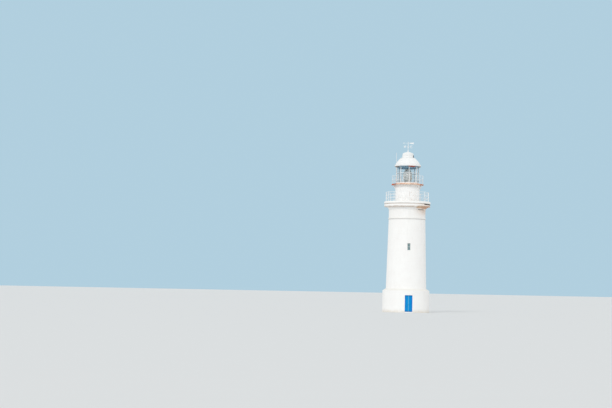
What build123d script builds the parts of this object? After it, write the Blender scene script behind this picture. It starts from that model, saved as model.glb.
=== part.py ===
from build123d import *
from math import cos, pi, radians, sin, sqrt
import os

# A round masonry harbour lighthouse, from the ground up: base drum, tapering shaft, corbelled
# gallery, iron lantern base, octagonal glazed lantern, dome, ventilator and weather vane.
# Millimetres, +Z up. The origin is on the tower's axis at ground level, and the entrance faces -Y.

os.makedirs("parts", exist_ok=True)

# Plan directions in degrees, anticlockwise from +X
front, right, back, left = -90, 0, 90, 180
side_directions = [front, right, back, left]
corner_directions = [direction + 45 for direction in side_directions]
segment_angle = 360 / (len(side_directions) + len(corner_directions))
seat_gap = 0.3

# Masonry tower
bore_radius = 1500
shaft_top_radius = 2290
shaft_batter = 230
shaft_height = 8670
base_height = 2700
weathering_height = 240
weathering_reach = 410
string_height = 150
string_reach = 70
string_chamfer = 35
frieze_height = 1000
floor_thickness = 100

# Entrance
door_half_width = 470
door_head = 2140
door_face_depth = 170
jamb_width = 45
stop_width = 25
stop_depth = 40
leaf_thickness = 50
leaf_gap = 5
leaf_foot_gap = 8
leaf_meeting_gap = 17
stile_width = 95
panel_recess = 14
hinge_offset = 12.5
pin_radius = 6
pin_clearance = 0.05
knuckle_radius = 10
pin_height = 60
pintle_height = 35
pintle_wing = 36
strap_thickness = 6
strap_height = 50
strap_length = 300
hinge_shares = [0.14, 0.5, 0.86]
lock_rail_share = 0.42
lock_inset = 8
lock_width = 130
lock_height = 90
lock_depth = 26
pull_radius = 24
pull_thickness = 4.5

# Shaft windows
window_width = 370
window_height = 890
window_sill_height = 4730
window_face_depth = 110
window_frame_width = 42
window_frame_depth = 70
window_splay_width = 660
window_splay_depth = 150
window_pane_thickness = 8

# Gallery
corbel_height = 400
corbel_reach = 500
cavetto_share = 0.17
bed_slab_reach = 75
bed_slab_height = 310
deck_groove_height = 50
deck_groove_depth = 130
deck_reach = 35
deck_thickness = 280
deck_nosing = 70
gallery_rail_inset = 230
gallery_rail_heights = [400, 790, 1170]
gallery_post_radius = 24
gallery_bar_radius = 19
post_foot_share = 2.5
post_foot_height = 16

# Lantern base and its catwalk
murette_radius = 1520
murette_height = 2150
murette_thickness = 40
gallery_door_turn = 15
gallery_door_width = 650
gallery_door_height = 1250
gallery_door_sill = 60
gallery_door_thickness = 20
gallery_door_recess = 8
catwalk_reach = 480
catwalk_ledge = 320
catwalk_thickness = 50
catwalk_rail_inset = 60
catwalk_rail_heights = [530, 1060]
catwalk_post_radius = 15
catwalk_bar_radius = 12
bracket_height = 600
bracket_setback = 30
bracket_thickness = 24
bracket_flange = 45
bracket_curve = 60
bracket_hollow_reach = 180
bracket_hollow_height = 300
aerial_radius = 22
aerial_height = 4100
aerial_direction = 130
aerial_gap = 1

# Lantern
lantern_sides = 8
lantern_setback = 145
sill_height = 200
glazing_height = 1900
head_height = 70
curb_width = 120
upright_width = 60
upright_depth = 70
midbar_height = 1150
midbar_thickness = 45
pane_thickness = 12

# Roof
gutter_reach = 250
gutter_ledge = 195
gutter_height = 270
gutter_plate = 30
gutter_lip = 25
gutter_cove = 55
dome_foot_inset = 85
dome_sheet = 30
dome_throat_inset = 680
dome_height = 850
dome_bulge = 60
rib_count = 16
rib_depth = 35
rib_width = 36
drum_flange_reach = 40
drum_flange_height = 30
drum_inset = 150
drum_wall = 40
drum_height = 360
drum_bead = 30
cap_inset = 30
cap_wall_height = 200
cap_crown_height = 200
cap_sheet = 25
cap_crown_radius = 110

# Weather vane
spindle_foot_radius = 90
spindle_foot_height = 390
spindle_radius = 22
spindle_flare = 14
spindle_rod_height = 590
arms_height = 280
arm_length = 480
arm_radius = 10
hub_radius = 45
vane_pin_radius = 9
vane_pin_height = 200
vane_clearance = 0.05
vane_lift = 20
vane_sleeve_radius = 24
vane_sleeve_height = 215
arrow_height = 110
arrow_rod_radius = 11
arrow_nose = 665
arrow_tail = 745
arrow_plate = 8
tail_length = 540
tail_width = 210
tail_notch = 90
head_length = 170
head_width = 110
finial_radius = 42

# Optic
pedestal_radius = 170
pedestal_foot_radius = 340
pedestal_plate = 40
lens_radius = 500
lens_wall = 26
lens_focus = 1050
belt_half_height = 95
belt_bulge = 34
belt_steps = 5
belt_step_height = 48
crown_steps = 7
crown_step_height = 62
crown_lean = 26
prism_depth = 24
belt_prism_depth = 13
belt_prism_growth = 2
prism_riser = 9
lens_ring_height = 36

# Radii, worked out from the sizes above
shaft_foot_radius = shaft_top_radius + shaft_batter
base_radius = shaft_foot_radius + weathering_reach
corbel_radius = shaft_top_radius + corbel_reach
bed_slab_radius = corbel_radius + bed_slab_reach
deck_radius = bed_slab_radius + deck_reach
gallery_rail_radius = deck_radius - gallery_rail_inset
catwalk_radius = murette_radius + catwalk_reach
catwalk_bore_radius = murette_radius - catwalk_ledge
catwalk_rail_radius = catwalk_radius - catwalk_rail_inset
lantern_radius = murette_radius - lantern_setback
gutter_radius = lantern_radius + gutter_reach
gutter_bore_radius = lantern_radius - gutter_ledge
dome_foot_radius = gutter_radius - dome_foot_inset
dome_throat_radius = dome_foot_radius - dome_throat_inset
drum_radius = dome_throat_radius - drum_inset
cap_radius = drum_radius - cap_inset

# Levels, worked out from the sizes above
base_top = base_height + weathering_height
string_level = base_top + shaft_height
frieze_level = string_level + string_height
corbel_level = frieze_level + frieze_height
bed_level = corbel_level + corbel_height
groove_level = bed_level + bed_slab_height
gallery_level = groove_level + deck_groove_height + deck_thickness
catwalk_base = gallery_level + murette_height
catwalk_level = catwalk_base + catwalk_thickness
glazing_level = catwalk_level + sill_height
head_level = glazing_level + glazing_height
gutter_level = head_level + head_height
dome_level = gutter_level + gutter_height
throat_level = dome_level + dome_height
drum_level = throat_level + drum_flange_height
cap_level = drum_level + drum_height
crown_level = cap_level + cap_wall_height + cap_crown_height
rod_level = crown_level + spindle_foot_height
pin_level = rod_level + spindle_rod_height
lens_level = catwalk_level + lens_focus


def flat_profile(points):
    """A closed outline in the radius-height plane."""
    return Plane.XZ * make_face(Polyline(*points, close=True))


def curved_profile(*edges):
    """A closed outline in the radius-height plane, with arcs."""
    return Plane.XZ * make_face(Curve() + list(edges))


def turned(profile):
    return revolve(profile, Axis.Z, 360)


def segment(profile, direction, angle=segment_angle):
    """One piece of a ring, centred on a plan direction."""
    return Rot(0, 0, direction - angle / 2) * revolve(profile, Axis.Z, angle)


def around(shape, directions):
    """Copies of a shape made at the front, turned to each direction."""
    return [Rot(0, 0, direction - front) * shape for direction in directions]


def ring_of_pieces(profile, directions, angle=segment_angle):
    return [segment(profile, direction, angle) for direction in directions]


def rod(radius, height, level=0):
    """An upright eight-sided bar."""
    return Pos(0, 0, level) * extrude(RegularPolygon(radius, 8), height)


def polar(radius, direction, level=0):
    return Pos(radius * cos(radians(direction)), radius * sin(radians(direction)), level)


def octagon(corner_radius, level, height):
    """An eight-sided prism with a corner over the entrance."""
    prism = extrude(RegularPolygon(corner_radius, lantern_sides), height)
    return Pos(0, 0, level) * Rot(0, 0, front) * prism


def octagon_ring(corner_radius, width, level, height):
    """An eight-sided frame whose bars are as wide as stated, centred on a corner radius."""
    reach = width / 2 / cos(pi / lantern_sides)
    return octagon(corner_radius + reach, level, height) - octagon(corner_radius - reach, level, height)


def drum(radius, height, level=0):
    """An upright cylinder standing on a level."""
    return Pos(0, 0, level) * Cylinder(radius, height, align=(Align.CENTER, Align.CENTER, Align.MIN))


def block(x, y, z):
    """A box given by its low and high sizes along each axis."""
    size = (x[1] - x[0], y[1] - y[0], z[1] - z[0])
    return Pos(x[0], y[0], z[0]) * Box(*size, align=(Align.MIN, Align.MIN, Align.MIN))


def write(node, *pieces):
    """One file for a node; like pieces go in it together, as solids that do not touch."""
    solids = [solid for piece in pieces for solid in piece.solids()]
    export_step(Compound(solids), f"parts/{node}.step")


def wall_radius(level):
    """The shaft's outer radius at a height on its taper."""
    share = (level - base_top) / shaft_height
    return shaft_foot_radius + (shaft_top_radius - shaft_foot_radius) * share


def base_drum():
    profile = flat_profile([
        (bore_radius, 0),
        (base_radius, 0),
        (base_radius, base_height),
        (shaft_foot_radius, base_top),
        (bore_radius, base_top),
    ])
    front_wall = segment(profile, front)
    doorway = block((-door_half_width, door_half_width), (-base_radius - 1, 0), (0, base_top))
    beside = (front_wall - doorway).solids().sort_by(Axis.X)
    write("base_wall_beside_door_left", beside[0])
    write("base_wall_beside_door_right", beside[-1])
    write("base_wall_over_door", front_wall & (Pos(0, 0, door_head) * doorway))
    write("base_wall_side_segments", *ring_of_pieces(profile, [right, back, left]))
    write("base_wall_corner_segments", *ring_of_pieces(profile, corner_directions))
    write("door_sill", front_wall & (Pos(0, 0, floor_thickness - base_top) * doorway))
    write("ground_floor", drum(bore_radius - seat_gap, floor_thickness))


# Entrance planes, measured from the curved face of the base drum at the axis
door_face = -(base_radius - door_face_depth)
leaf_face = door_face + stop_depth + leaf_gap
leaf_back = leaf_face + leaf_thickness
hinge_line = leaf_back + hinge_offset
rebate_edge = door_half_width - jamb_width
leaf_edge = rebate_edge - leaf_gap
hinge_edge = rebate_edge - leaf_gap / 2
leaf_foot = floor_thickness + leaf_foot_gap
leaf_head = door_head - jamb_width - leaf_gap
leaf_height = leaf_head - leaf_foot
leaf_meeting = leaf_meeting_gap / 2
hinge_levels = [leaf_foot + share * leaf_height for share in hinge_shares]
lock_rail_level = leaf_foot + lock_rail_share * leaf_height


def door_frame():
    """Two jambs and a head, rebated so that the leaves close against a stop."""
    outer = block((-door_half_width, door_half_width), (door_face, leaf_back), (floor_thickness, door_head))
    light_edge = rebate_edge - stop_width
    light = block(
        (-light_edge, light_edge),
        (door_face, leaf_back),
        (floor_thickness, door_head - jamb_width - stop_width),
    )
    rebate = block(
        (-rebate_edge, rebate_edge),
        (door_face + stop_depth, leaf_back),
        (floor_thickness, door_head - jamb_width),
    )
    return outer - light - rebate


def pintle(level):
    """A pin on a block, welded to a plate on the jamb; the leaf's knuckle drops over it."""
    centre = Pos(hinge_edge, hinge_line, 0)
    body = centre * drum(knuckle_radius, pintle_height, level - pintle_height)
    pin = centre * drum(pin_radius, pin_height, level)
    wing = block(
        (rebate_edge, rebate_edge + pintle_wing),
        (leaf_back, leaf_back + strap_thickness),
        (level - pintle_height, level),
    )
    return body + wing + pin


def door_leaf():
    """The right-hand leaf: a panelled board with three straps, each ending in a knuckle."""
    board = block((leaf_meeting, leaf_edge), (leaf_face, leaf_back), (leaf_foot, leaf_head))
    across = (leaf_meeting + stile_width, leaf_edge - stile_width)
    lower_panel = (leaf_foot + 2 * stile_width, lock_rail_level)
    upper_panel = (lock_rail_level + stile_width, leaf_head - stile_width)
    for up in (lower_panel, upper_panel):
        board -= block(across, (leaf_face, leaf_face + panel_recess), up)
        board -= block(across, (leaf_back - panel_recess, leaf_back), up)
    for level in hinge_levels:
        foot = level + seat_gap
        strap = block(
            (hinge_edge - strap_length, leaf_edge),
            (leaf_back, leaf_back + strap_thickness),
            (foot, foot + strap_height),
        )
        centre = Pos(hinge_edge, hinge_line, 0)
        board += strap + centre * drum(knuckle_radius, strap_height, foot)
        board -= centre * drum(pin_radius + pin_clearance, strap_height, foot)
    return board


def door_handle():
    """A rim lock on the inner face and a ring pull on the outer face of the right-hand leaf."""
    level = lock_rail_level + stile_width / 2
    low = leaf_meeting + lock_inset
    lock = block(
        (low, low + lock_width),
        (leaf_back, leaf_back + lock_depth),
        (level - lock_height / 2, level + lock_height / 2),
    )
    pull = Rot(90, 0, 0) * drum(pull_radius, pull_thickness)
    return lock, Pos(leaf_meeting + stile_width / 2, leaf_face, level) * pull


def entrance():
    write("door_frame", door_frame())
    pintles = [pintle(level) for level in hinge_levels]
    write("door_pintles", *pintles, *[mirror(piece, Plane.YZ) for piece in pintles])
    leaf = door_leaf()
    write("door_leaf_right", leaf)
    write("door_leaf_left", mirror(leaf, Plane.YZ))
    write("door_handle", *door_handle())


def window_opening():
    """The front window's opening: straight past the frame, then splayed to the bore."""
    level = base_top + window_sill_height
    face = -wall_radius(level + window_height / 2)
    frame_back = face + window_face_depth + window_frame_depth
    half = window_width / 2
    splay = window_splay_width / 2
    inner = window_splay_depth - bore_radius
    plan = Polyline(
        (-half, face - window_face_depth),
        (half, face - window_face_depth),
        (half, frame_back),
        (splay, inner),
        (-splay, inner),
        (-half, frame_back),
        close=True,
    )
    return Pos(0, 0, level) * extrude(make_face(plan), window_height)


def shaft():
    profile = flat_profile([
        (bore_radius, base_top),
        (shaft_foot_radius, base_top),
        (shaft_top_radius, string_level),
        (shaft_top_radius + string_reach, string_level + string_chamfer),
        (shaft_top_radius + string_reach, frieze_level - string_chamfer),
        (shaft_top_radius, frieze_level),
        (shaft_top_radius, corbel_level),
        (bore_radius, corbel_level),
    ])
    opening = window_opening()
    openings = {front: opening, back: Rot(0, 0, 180) * opening}
    sides = []
    for direction in side_directions:
        wall = segment(profile, direction)
        sides.append(wall - openings[direction] if direction in openings else wall)
    write("shaft_wall_side_segments", *sides)
    write("shaft_wall_corner_segments", *ring_of_pieces(profile, corner_directions))


def windows():
    """A two-light frame in the front and back openings, and its panes."""
    level = base_top + window_sill_height
    face = -wall_radius(level + window_height / 2) + window_face_depth
    half = window_width / 2
    frame = block((-half, half), (face, face + window_frame_depth), (level, level + window_height))
    light_half = half - window_frame_width
    light_height = (window_height - 3 * window_frame_width) / 2
    middle = face + window_frame_depth / 2
    panes = []
    for row in range(2):
        foot = level + window_frame_width + row * (light_height + window_frame_width)
        light = block(
            (-light_half, light_half),
            (face, face + window_frame_depth),
            (foot, foot + light_height),
        )
        frame -= light
        panes.append(light & block(
            (-half, half),
            (middle - window_pane_thickness / 2, middle + window_pane_thickness / 2),
            (level, level + window_height),
        ))
    write("window_frames", *around(frame, [front, back]))
    write("window_panes", *[piece for pane in panes for piece in around(pane, [front, back])])


def gallery_slabs():
    foot = (shaft_top_radius, corbel_level)
    lip = (corbel_radius, bed_level)
    rise = sqrt(corbel_reach ** 2 + corbel_height ** 2)
    corbel = curved_profile(
        Line((bore_radius, corbel_level), foot),
        SagittaArc(foot, lip, cavetto_share * rise),
        Line(lip, (bore_radius, bed_level)),
        Line((bore_radius, bed_level), (bore_radius, corbel_level)),
    )
    write("corbel_side_segments", *ring_of_pieces(corbel, side_directions))
    write("corbel_corner_segments", *ring_of_pieces(corbel, corner_directions))
    write("gallery_bed_slab", drum(bed_slab_radius, bed_slab_height, bed_level))
    neck = deck_radius - deck_groove_depth
    outline = make_face(Polyline(
        (0, groove_level),
        (neck, groove_level),
        (neck, groove_level + deck_groove_height),
        (deck_radius, groove_level + deck_groove_height),
        (deck_radius, gallery_level),
        (0, gallery_level),
        close=True,
    ))
    outline = fillet(outline.vertices().group_by(Axis.X)[-1], deck_nosing)
    write("gallery_deck", turned(Plane.XZ * outline))


def curved_bar(radius, level, bar_radius):
    """An eight-sided bar bent round two bays, centred on the front."""
    return segment(Plane.XZ * (Pos(radius, level) * RegularPolygon(bar_radius, 8)), front)


def railing(name, radius, level, heights, post_radius, bar_radius):
    """Eight panels of two bays: those at the sides carry three posts, those at the corners one."""
    top = heights[-1]
    place = polar(radius, front, level)
    post = place * (rod(post_radius, top) + rod(post_foot_share * post_radius, post_foot_height))
    socket = place * rod(post_radius + seat_gap, top + 2 * bar_radius)
    side_panel = post
    corner_panel = post
    for height in heights:
        bar = curved_bar(radius, level + height, bar_radius)
        side_panel += bar
        corner_panel += bar
    for turn in (-segment_angle / 2, segment_angle / 2):
        side_panel += Rot(0, 0, turn) * post
        corner_panel -= Rot(0, 0, turn) * socket
    write(f"{name}_side_bays", *around(side_panel, side_directions))
    write(f"{name}_corner_bays", *around(corner_panel, corner_directions))


def lantern_base():
    profile = flat_profile([
        (murette_radius - murette_thickness, gallery_level),
        (murette_radius, gallery_level),
        (murette_radius, catwalk_base),
        (murette_radius - murette_thickness, catwalk_base),
    ])
    door_direction = front + gallery_door_turn
    door_side = [direction + gallery_door_turn for direction in side_directions]
    between = [direction + gallery_door_turn for direction in corner_directions]
    foot = gallery_level + gallery_door_sill
    opening = Rot(0, 0, gallery_door_turn) * block(
        (-gallery_door_width / 2, gallery_door_width / 2),
        (-murette_radius - 1, -murette_radius / 2),
        (foot, foot + gallery_door_height),
    )
    panels = ring_of_pieces(profile, door_side)
    panels[0] -= opening
    write("murette_panels_door_side", *panels)
    write("murette_panels_between", *ring_of_pieces(profile, between))
    leaf_outer = murette_radius - gallery_door_recess
    leaf_profile = flat_profile([
        (leaf_outer - gallery_door_thickness, foot),
        (leaf_outer, foot),
        (leaf_outer, foot + gallery_door_height - seat_gap),
        (leaf_outer - gallery_door_thickness, foot + gallery_door_height - seat_gap),
    ])
    leaf_room = Rot(0, 0, gallery_door_turn) * block(
        (-gallery_door_width / 2 + seat_gap, gallery_door_width / 2 - seat_gap),
        (-murette_radius - 1, -murette_radius / 2),
        (foot, foot + gallery_door_height),
    )
    write("gallery_door", segment(leaf_profile, door_direction) & leaf_room)


def bracket():
    """A cast bracket under the catwalk: a web with a hollow brace, thickened along its two edges."""
    wall = murette_radius + seat_gap
    tip = catwalk_radius - bracket_setback
    foot = catwalk_base - bracket_height
    web = curved_profile(
        Line((wall, catwalk_base), (wall, foot)),
        Line((wall, foot), (wall + bracket_flange, foot)),
        SagittaArc((wall + bracket_flange, foot), (tip, catwalk_base - bracket_flange), bracket_curve),
        Line((tip, catwalk_base - bracket_flange), (tip, catwalk_base)),
        Line((tip, catwalk_base), (wall, catwalk_base)),
    )
    hollow_corner = (wall + bracket_flange, catwalk_base - bracket_flange)
    hollow = flat_profile([
        hollow_corner,
        (hollow_corner[0], hollow_corner[1] - bracket_hollow_height),
        (hollow_corner[0] + bracket_hollow_reach, hollow_corner[1]),
    ])
    blade = extrude(web - hollow, bracket_thickness / 2, both=True)
    return Rot(0, 0, front) * blade


def catwalk():
    write("catwalk_brackets", *around(bracket(), side_directions + corner_directions))
    plate = flat_profile([
        (catwalk_bore_radius, catwalk_base),
        (catwalk_radius, catwalk_base),
        (catwalk_radius, catwalk_level),
        (catwalk_bore_radius, catwalk_level),
    ])
    write("catwalk_side_plates", *ring_of_pieces(plate, side_directions))
    write("catwalk_corner_plates", *ring_of_pieces(plate, corner_directions))
    aerial_place = catwalk_rail_radius + catwalk_bar_radius + aerial_radius + aerial_gap
    aerial = rod(aerial_radius, aerial_height)
    write("aerial_mast", polar(aerial_place, aerial_direction, catwalk_level) * aerial)


def lantern():
    write("lantern_sill", octagon_ring(lantern_radius, curb_width, catwalk_level, sill_height))
    write("lantern_head", octagon_ring(lantern_radius, curb_width, head_level, head_height))
    upright = polar(lantern_radius, front, glazing_level) * Box(
        upright_width, upright_depth, glazing_height, align=(Align.CENTER, Align.CENTER, Align.MIN))
    uprights = around(upright, [front + 360 / lantern_sides * side for side in range(lantern_sides)])
    bar_level = glazing_level + midbar_height
    midbars = octagon_ring(lantern_radius, midbar_thickness, bar_level, midbar_thickness)
    glass = octagon_ring(lantern_radius, pane_thickness, glazing_level, glazing_height)
    glass -= octagon(lantern_radius + upright_depth, bar_level, midbar_thickness)
    for piece in uprights:
        midbars -= piece
        glass -= piece
    write("lantern_uprights", *uprights)
    write("lantern_midbars", midbars)
    write("lantern_panes", glass)


def dome_line(shift):
    """The dome's curve from foot to throat, moved outwards by a shift."""
    return SagittaArc(
        (dome_foot_radius + shift, dome_level),
        (dome_throat_radius + shift, throat_level),
        -dome_bulge,
    )


def dome_band(inner, outer):
    """The outline between two shifted copies of the dome's curve."""
    low, high = dome_line(inner), dome_line(outer)
    return curved_profile(low, Line(low @ 1, high @ 1), high, Line(high @ 0, low @ 0))


def roof():
    curb = dome_foot_radius - dome_sheet
    floor = gutter_level + gutter_plate
    gutter = flat_profile([
        (gutter_bore_radius, gutter_level),
        (gutter_radius - gutter_cove, gutter_level),
        (gutter_radius, gutter_level + gutter_cove),
        (gutter_radius, dome_level),
        (gutter_radius - gutter_lip, dome_level),
        (gutter_radius - gutter_lip, floor + gutter_cove),
        (gutter_radius - gutter_lip - gutter_cove, floor),
        (dome_foot_radius, floor),
        (dome_foot_radius, dome_level),
        (curb, dome_level),
        (curb, floor),
        (gutter_bore_radius, floor),
    ])
    write("lantern_gutter", turned(gutter))
    sheet = dome_band(-dome_sheet, 0)
    step = 360 / rib_count
    joints = [front + step * number for number in range(rib_count)]
    middles = [joint + step / 2 for joint in joints]
    write("dome_sheets_first_set", *ring_of_pieces(sheet, middles[0::2], step))
    write("dome_sheets_second_set", *ring_of_pieces(sheet, middles[1::2], step))
    rib = extrude(dome_band(0, rib_depth), rib_width / 2, both=True)
    write("dome_ribs", *around(Rot(0, 0, front) * rib, joints))


def ventilator():
    wall = drum_radius - drum_wall
    flange = dome_throat_radius + drum_flange_reach
    bead_level = cap_level - drum_bead
    body = flat_profile([
        (wall, throat_level),
        (flange, throat_level),
        (flange, drum_level),
        (drum_radius, drum_level),
        (drum_radius, bead_level),
        (drum_radius + drum_bead, bead_level),
        (drum_radius + drum_bead, cap_level),
        (wall, cap_level),
    ])
    write("ventilator_drum", turned(body))
    shoulder = cap_level + cap_wall_height
    cap = curved_profile(
        Line((cap_radius - cap_sheet, cap_level), (cap_radius, cap_level)),
        Line((cap_radius, cap_level), (cap_radius, shoulder)),
        SagittaArc((cap_radius, shoulder), (cap_crown_radius, crown_level), -cap_sheet),
        Line((cap_crown_radius, crown_level), (0, crown_level)),
        Line((0, crown_level), (0, crown_level - cap_sheet)),
        Line((0, crown_level - cap_sheet), (cap_crown_radius, crown_level - cap_sheet)),
        SagittaArc(
            (cap_crown_radius, crown_level - cap_sheet),
            (cap_radius - cap_sheet, shoulder - cap_sheet),
            cap_sheet,
        ),
        Line((cap_radius - cap_sheet, shoulder - cap_sheet), (cap_radius - cap_sheet, cap_level)),
    )
    write("ventilator_cap", turned(cap))


def vane_spindle():
    """The mast on the cap: a tapered foot, the rod with its four arms, and the pin on top."""
    mast = turned(curved_profile(
        Line((0, crown_level), (spindle_foot_radius, crown_level)),
        SagittaArc((spindle_foot_radius, crown_level), (spindle_radius, rod_level), spindle_flare),
        Line((spindle_radius, rod_level), (spindle_radius, pin_level)),
        Line((spindle_radius, pin_level), (0, pin_level)),
        Line((0, pin_level), (0, crown_level)),
    ))
    mast += drum(vane_pin_radius, vane_pin_height, pin_level)
    arms_level = rod_level + arms_height
    mast += drum(hub_radius, hub_radius, arms_level - hub_radius / 2)
    for direction in side_directions:
        arm = Pos(0, 0, arms_level) * Rot(0, 0, direction) * Rot(0, 90, 0) * rod(arm_radius, arm_length)
        mast += arm
    return mast


def vane_arrow():
    """A sleeve that turns on the pin, with the arrow's rod, its head and its broad tail plate."""
    foot = pin_level + vane_lift
    sleeve = drum(vane_sleeve_radius, vane_sleeve_height, foot)
    bore = drum(vane_pin_radius + vane_clearance, vane_pin_height - vane_lift + seat_gap, foot)
    level = foot + arrow_height
    shank = Pos(-arrow_nose + head_length / 2, 0, level) * Rot(0, 90, 0) * rod(
        arrow_rod_radius, arrow_nose - head_length / 2 + arrow_tail - tail_length / 2)
    nose = make_face(Polyline(
        (-arrow_nose, level),
        (-arrow_nose + head_length, level - head_width / 2),
        (-arrow_nose + head_length, level + head_width / 2),
        close=True,
    ))
    tail = make_face(Polyline(
        (arrow_tail - tail_length, level - tail_width / 4),
        (arrow_tail, level - tail_width / 2),
        (arrow_tail - tail_notch, level),
        (arrow_tail, level + tail_width / 2),
        (arrow_tail - tail_length, level + tail_width / 4),
        close=True,
    ))
    plates = [extrude(Plane.XZ * outline, arrow_plate / 2, both=True) for outline in (nose, tail)]
    finial = Pos(0, 0, foot + vane_sleeve_height) * Sphere(finial_radius)
    return sleeve + shank + plates + finial - bore


def lens():
    """A drum of stepped prisms: a bulged belt at the focal plane, and leaning crowns above and below.

    Each prism is one tooth of the outline. Its face falls back from the riser nearest the focal
    plane, so that all of them bend the light level, as a single thick lens would.
    """
    outer = lens_radius
    height = lens_level + belt_half_height
    edges = [SagittaArc((outer, lens_level - belt_half_height), (outer, height), -belt_bulge)]
    points = [(outer, height)]
    for step in range(belt_steps):
        points.append((outer + belt_prism_depth + belt_prism_growth * step, height))
        height += belt_step_height
        points.append((outer, height))
    for step in range(crown_steps):
        points.append((outer + prism_depth, height + prism_riser))
        outer -= crown_lean
        height += crown_step_height
        points.append((outer, height))
    inner_crown = outer - lens_wall
    inner_belt = lens_radius - lens_wall
    bend = lens_level + belt_half_height + belt_steps * belt_step_height
    mirrored = [(radius, 2 * lens_level - level) for radius, level in points]
    upper = Polyline(*points)
    lower = Polyline(*mirrored)
    inner = Polyline(
        points[-1],
        (inner_crown, points[-1][1]),
        (inner_belt, bend),
        (inner_belt, 2 * lens_level - bend),
        (inner_crown, 2 * lens_level - points[-1][1]),
        mirrored[-1],
    )
    glass = turned(Plane.XZ * make_face(Curve() + edges + [upper, lower, inner]))
    return glass, inner_crown, outer, points[-1][1]


def optic():
    glass, ring_bore, ring_radius, top = lens()
    foot = 2 * lens_level - top
    write("lens_glass", glass)
    ring = flat_profile([
        (ring_bore, 0),
        (ring_radius, 0),
        (ring_radius, lens_ring_height),
        (ring_bore, lens_ring_height),
    ])
    write("lens_frame", *[Pos(0, 0, level) * turned(ring) for level in (foot - lens_ring_height, top)])
    head = foot - lens_ring_height
    write("lens_pedestal", turned(flat_profile([
        (0, gallery_level),
        (pedestal_foot_radius, gallery_level),
        (pedestal_foot_radius, gallery_level + pedestal_plate),
        (pedestal_radius, gallery_level + 3 * pedestal_plate),
        (pedestal_radius, head - 3 * pedestal_plate),
        (ring_radius, head - pedestal_plate),
        (ring_radius, head),
        (0, head),
    ])))


base_drum()
entrance()
shaft()
windows()
gallery_slabs()
railing(
    "gallery_railing",
    gallery_rail_radius,
    gallery_level,
    gallery_rail_heights,
    gallery_post_radius,
    gallery_bar_radius,
)
lantern_base()
catwalk()
railing(
    "catwalk_railing",
    catwalk_rail_radius,
    catwalk_level,
    catwalk_rail_heights,
    catwalk_post_radius,
    catwalk_bar_radius,
)
lantern()
roof()
ventilator()
write("vane_spindle", vane_spindle())
write("vane_arrow", vane_arrow())
optic()
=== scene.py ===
from math import atan2, cos, pi, radians, sin

import bmesh
import bpy
from mathutils import Matrix, Vector


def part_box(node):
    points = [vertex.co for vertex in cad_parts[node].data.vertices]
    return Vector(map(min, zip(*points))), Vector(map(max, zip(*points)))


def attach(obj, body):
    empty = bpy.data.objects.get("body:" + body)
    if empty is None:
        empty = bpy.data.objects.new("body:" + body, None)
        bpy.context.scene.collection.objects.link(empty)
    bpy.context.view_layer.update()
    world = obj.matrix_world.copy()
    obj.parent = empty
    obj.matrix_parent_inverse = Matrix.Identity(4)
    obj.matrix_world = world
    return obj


# A harbour lighthouse, dressed in the order in which it is put up. Metres, +Z up, the entrance
# faces -Y. A direction round the tower is in degrees from the entrance, anticlockwise from above.
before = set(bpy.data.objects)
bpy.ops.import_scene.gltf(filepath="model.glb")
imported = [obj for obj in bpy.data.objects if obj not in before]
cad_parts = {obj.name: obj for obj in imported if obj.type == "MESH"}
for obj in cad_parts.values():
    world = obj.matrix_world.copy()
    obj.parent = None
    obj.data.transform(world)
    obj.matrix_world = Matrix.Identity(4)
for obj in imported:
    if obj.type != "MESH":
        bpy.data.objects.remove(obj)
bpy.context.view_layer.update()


# The walls, from the ground to the bed slab under the gallery.
# Cut stone laid in courses, rendered, and limewashed so many times that only a ghost of the joints
# is left. Rain has drawn grey streaks down it and rust from the ironwork has run over the cornice.
class Wire:
    """One output of a node; arithmetic on it adds Math nodes to the same finish."""

    def __init__(self, finish, socket):
        self.finish = finish
        self.socket = socket

    def __add__(self, other):
        return self.finish.maths("ADD", self, other)

    def __sub__(self, other):
        return self.finish.maths("SUBTRACT", self, other)

    def __mul__(self, other):
        return self.finish.maths("MULTIPLY", self, other)

    def __radd__(self, other):
        return self.finish.maths("ADD", other, self)

    def __rsub__(self, other):
        return self.finish.maths("SUBTRACT", other, self)

    def __rmul__(self, other):
        return self.finish.maths("MULTIPLY", other, self)


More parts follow.
